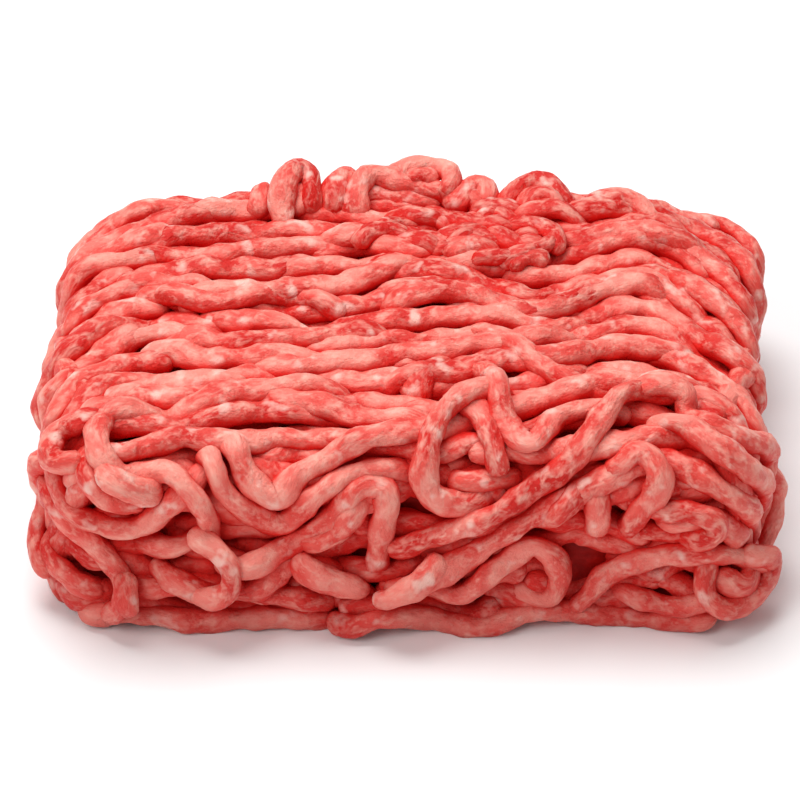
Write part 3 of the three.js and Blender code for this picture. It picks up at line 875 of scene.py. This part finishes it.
def node(tree, kind, inputs=(), **settings):
    """Adds a shader node: a socket of another node is linked to an input, any other value is set on it."""
    made = tree.nodes.new(kind)
    for label, value in settings.items():
        setattr(made, label, value)
    for socket, value in dict(inputs).items():
        if isinstance(value, bpy.types.NodeSocket):
            tree.links.new(value, made.inputs[socket])
        else:
            made.inputs[socket].default_value = value
    return made


def noise(tree, place, scale, **inputs):
    """Noise from 0 to 1 over the vector `place`, with `scale` marks to each of its units."""
    return node(tree, "ShaderNodeTexNoise", {"Vector": place, "Scale": scale, **inputs}).outputs[0]


def rgb(red, green, blue):
    """An sRGB colour from 0 to 255 as linear light."""
    share = np.array([red, green, blue]) / 255
    linear = np.where(share <= 0.04045, share / 12.92, ((share + 0.055) / 1.055) ** 2.4)
    return (*linear.tolist(), 1.0)


def ramped(tree, value, stops):
    """The colours of the stops, mixed by where the value lies between them."""
    made = node(tree, "ShaderNodeValToRGB", {0: value})
    while len(made.color_ramp.elements) < len(stops):
        made.color_ramp.elements.new(0.5)
    for element, (place, colour) in zip(made.color_ramp.elements, stops):
        element.position = place
        element.color = colour
    return made.outputs[0]


def risen(tree, value, low, high):
    """A grey that goes from one (place, level) to another as the value goes from place to place."""
    return ramped(tree, value, [(place, (level, level, level, 1)) for place, level in (low, high)])


def mixed(tree, share, first, second):
    """The first colour, and the second in its place by the share. Inputs 6 and 7 are the two colours."""
    made = node(tree, "ShaderNodeMix", {0: share, 6: first, 7: second}, data_type="RGBA")
    return made.outputs[2]


def math_node(tree, operation, *inputs):
    """The result of a sum or a choice of the inputs, worked out at each point."""
    return node(tree, "ShaderNodeMath", dict(enumerate(inputs)), operation=operation).outputs[0]


def new_material(name):
    """A material with its tree of nodes and its shader."""
    material = bpy.data.materials.new(name)
    material.use_nodes = True
    return material, material.node_tree, material.node_tree.nodes["Principled BSDF"]


def attribute(tree, name, socket="Fac"):
    """The value that the mesh holds under a name at each point."""
    return node(tree, "ShaderNodeAttribute", attribute_name=name).outputs[socket]


DEEP_LEAN = rgb(208, 34, 27)
LEAN = rgb(231, 86, 76)
PALE_LEAN = rgb(245, 138, 124)
MARBLING = rgb(251, 184, 166)
SPECKS = rgb(248, 176, 160)
SUET = rgb(252, 212, 198)
# Painted shade: a saturated red in half shade, and a deep red in the creases.
HALF_SHADE_RED = rgb(226, 34, 26)
CREASE_SHADE = rgb(206, 5, 2)
# Painted shade: the darker red towards the foot of the block.
FOOT_SHADE = rgb(186, 44, 38)
# Painted shade: the dark reds of the inside that shows in the deep gaps.
INSIDE_SHADE_DARK = rgb(116, 5, 4)
INSIDE_SHADE_RED = rgb(172, 18, 13)
# Painted shade towards the foot: the height up to which it reaches, and its share at the floor.
FOOT_SHADE_HEIGHT = 0.024
FOOT_SHADE_SHARE = 0.5
TONE_SHARE = 0.09
ZONE_SHARE = 0.5
DRAWN_OUT = (0.65, 1.0, 1.0)
MEAT_SURFACE = {
    "Specular IOR Level": 0.2,
    "Subsurface Weight": 0.12,
    "Subsurface Radius": (1.0, 0.32, 0.22),
    "Subsurface Scale": 0.0015,
    "Coat Weight": 0.02,
    "Coat Roughness": 0.35,
}
MEAT_RELIEF = {"Strength": 0.8, "Distance": 0.0008}
INSIDE_SURFACE = {"Roughness": 0.5, "Specular IOR Level": 0.1}
INSIDE_RELIEF = {"Strength": 0.6, "Distance": 0.001}
BOARD_SURFACE = {"Roughness": 0.8, "Specular IOR Level": 0.2}


def finish_surface(tree, shader, settings, height=None, relief=None):
    """Sets inputs of the shader, and where a height is given, lets it stand out in relief."""
    for label, value in settings.items():
        shader.inputs[label].default_value = value
    if height is not None:
        made = node(tree, "ShaderNodeBump", {"Height": height, **relief})
        tree.links.new(made.outputs[0], shader.inputs["Normal"])


def meat_colour(tree, drawn, place, speck):
    """Lean meat that varies by zone, patch and strand, with marbling drawn out along the strand, small specks
    and a few lumps of white fat."""
    zone = noise(tree, place, scale=42.0, Detail=1.0)
    fleck = noise(tree, drawn, scale=0.55, Detail=2.5, Roughness=0.6, Distortion=0.4)
    patch = noise(tree, drawn, scale=0.13, Detail=2.0)
    lump = noise(tree, place, scale=210.0, Detail=2.0)
    toned = math_node(tree, "MULTIPLY_ADD", attribute(tree, "tone"), TONE_SHARE, patch)
    zoned = math_node(tree, "MULTIPLY_ADD", zone, ZONE_SHARE, toned)
    lean = ramped(tree, zoned, [(0.58, DEEP_LEAN), (0.74, LEAN), (0.89, PALE_LEAN)])
    marbled = mixed(tree, risen(tree, fleck, (0.44, 0), (0.74, 0.75)), lean, MARBLING)
    dotted = mixed(tree, risen(tree, speck, (0.58, 0), (0.75, 0.4)), marbled, SPECKS)
    return mixed(tree, risen(tree, lump, (0.60, 0), (0.72, 0.7)), dotted, SUET)


def mince_material():
    """Moist raw mince: lean meat with flecks of fat, with painted shade in a darker red towards the foot and
    in a deeper red in the creases and on the undersides; dull in the creases, so that no light glints there."""
    material, tree, shader = new_material("raw_mince_strands")
    shade_mask = attribute(tree, "shade_mask")
    place = node(tree, "ShaderNodeTexCoord").outputs["Object"]
    space = attribute(tree, "strand_space", "Vector")
    drawn = node(tree, "ShaderNodeVectorMath", {0: space, 1: DRAWN_OUT}, operation="MULTIPLY").outputs[0]
    speck = noise(tree, drawn, scale=1.5, Detail=2.0)
    meat = meat_colour(tree, drawn, place, speck)
    # Painted shade: redder in half shade, deep red in the creases and on the undersides.
    half_shaded = mixed(tree, risen(tree, shade_mask, (0.12, 0), (0.38, 0.9)), meat, HALF_SHADE_RED)
    crease_shaded = mixed(tree, risen(tree, shade_mask, (0.38, 0), (0.66, 1)), half_shaded, CREASE_SHADE)
    # Painted shade: a darker red towards the foot, fading out with height.
    level = node(tree, "ShaderNodeSeparateXYZ", {0: place}).outputs["Z"]
    foot = node(tree, "ShaderNodeMapRange", {"Value": level, "From Min": 0.0, "From Max": FOOT_SHADE_HEIGHT,
                                             "To Min": FOOT_SHADE_SHARE, "To Max": 0.0}).outputs[0]
    tree.links.new(mixed(tree, foot, crease_shaded, FOOT_SHADE), shader.inputs["Base Color"])
    moist = risen(tree, speck, (0.3, 0.38), (0.7, 0.56))
    dull = risen(tree, shade_mask, (0.15, 0.3), (0.45, 0.95))
    tree.links.new(math_node(tree, "MAXIMUM", moist, dull), shader.inputs["Roughness"])
    grain = noise(tree, drawn, scale=1.1, Detail=4.0, Roughness=0.6)
    finish_surface(tree, shader, MEAT_SURFACE, grain, MEAT_RELIEF)
    return material


def core_material():
    """The inside that shows in the gaps: dark red as painted shade of the deep gaps, mottled by noise."""
    material, tree, shader = new_material("raw_mince_inside")
    place = node(tree, "ShaderNodeTexCoord").outputs["Object"]
    mottle = noise(tree, place, scale=260.0, Detail=3.0)
    colour = ramped(tree, mottle, [(0.3, INSIDE_SHADE_DARK), (0.7, INSIDE_SHADE_RED)])
    tree.links.new(colour, shader.inputs["Base Color"])
    finish_surface(tree, shader, INSIDE_SURFACE, mottle, INSIDE_RELIEF)
    return material


GROUPS = ["rows_front", "rows_back", "rows_under", "under_front", "front_loops", "front_more", "top_strays",
          "tangle", "edge_loops"]


def build_block():
    """The whole block: its core, and one piece for each group of strands."""
    meat = mince_material()
    build_core(core_material())
    tubes = [make_tube(strand, index) for index, strand in enumerate(strands)]
    crowding(tubes)
    for group in GROUPS:
        build_group(group, tubes, meat)


# Floor, light and camera, in metres

FLOOR_HALF = 1.5
FLOOR_SQUARES = 4
LOOKED_AT = Vector((0, 0, 0.02))
ELEVATION = math.radians(37)
DISTANCE = 0.78
SENSOR = 36
PICTURE = 800
FOCAL_PIXELS = 3802
SHIFT_PIXELS_X = -4
SHIFT_PIXELS_Y = 2
NEAREST_SEEN = 0.05
FARTHEST_SEEN = 20
WORLD_STRENGTH = 0.37


def build_floor():
    """A flat square of pale board, 3 m wide, with a faint mottle."""
    count = FLOOR_SQUARES + 1
    x, y = np.meshgrid(*[np.linspace(-FLOOR_HALF, FLOOR_HALF, count)] * 2)
    k = (np.arange(FLOOR_SQUARES)[:, None] * count + np.arange(FLOOR_SQUARES)[None]).ravel()
    mesh = bpy.data.meshes.new("floor")
    mesh.from_pydata(np.stack([x.ravel(), y.ravel(), np.zeros(count * count)], -1).tolist(), [],
                     np.stack([k, k + 1, k + count + 1, k + count], -1).tolist())
    material, tree, shader = new_material("pale_board")
    mottle = noise(tree, node(tree, "ShaderNodeTexCoord").outputs["Object"], scale=6.0)
    tree.links.new(risen(tree, mottle, (0.3, 0.90), (0.7, 0.92)), shader.inputs["Base Color"])
    finish_surface(tree, shader, BOARD_SURFACE)
    mesh.materials.append(material)
    floor = bpy.data.objects.new("floor", mesh)
    bpy.context.scene.collection.objects.link(floor)


def aim(obj, place):
    """Puts a lamp or a camera at a place and turns it to look at the block."""
    obj.location = place
    obj.rotation_mode = "QUATERNION"
    obj.rotation_quaternion = (LOOKED_AT - Vector(place)).to_track_quat("-Z", "Y")
    bpy.context.scene.collection.objects.link(obj)


def lamp(name, place, size, power):
    """A round soft lamp that shines on the block."""
    light = bpy.data.lights.new(name, "AREA")
    light.shape = "DISK"
    light.size = size
    light.energy = power
    aim(bpy.data.objects.new(name, light), place)


def build_world():
    """Even white light from all round."""
    world = bpy.data.worlds.new("studio")
    world.use_nodes = True
    background = world.node_tree.nodes["Background"]
    background.inputs["Color"].default_value = (1, 1, 1, 1)
    background.inputs["Strength"].default_value = WORLD_STRENGTH
    bpy.context.scene.world = world


def build_camera():
    """A long lens in front of the block, 37 degrees above the floor."""
    lens = bpy.data.cameras.new("camera")
    camera = bpy.data.objects.new("camera", lens)
    aim(camera, LOOKED_AT + DISTANCE * Vector((0, -math.cos(ELEVATION), math.sin(ELEVATION))))
    lens.sensor_width = SENSOR
    lens.lens = FOCAL_PIXELS / PICTURE * SENSOR
    lens.shift_x = SHIFT_PIXELS_X / PICTURE
    lens.shift_y = SHIFT_PIXELS_Y / PICTURE
    lens.clip_start = NEAREST_SEEN
    lens.clip_end = FARTHEST_SEEN
    bpy.context.scene.camera = camera


lay_all()
build_block()
build_floor()
lamp("overhead", place=(-0.15, 0.25, 1.1), size=0.8, power=11.5)
lamp("front_left", place=(-0.8, -0.8, 1.1), size=0.8, power=7)
build_world()
build_camera()
bpy.context.scene.view_settings.view_transform = "Standard"

bpy.context.view_layer.update()
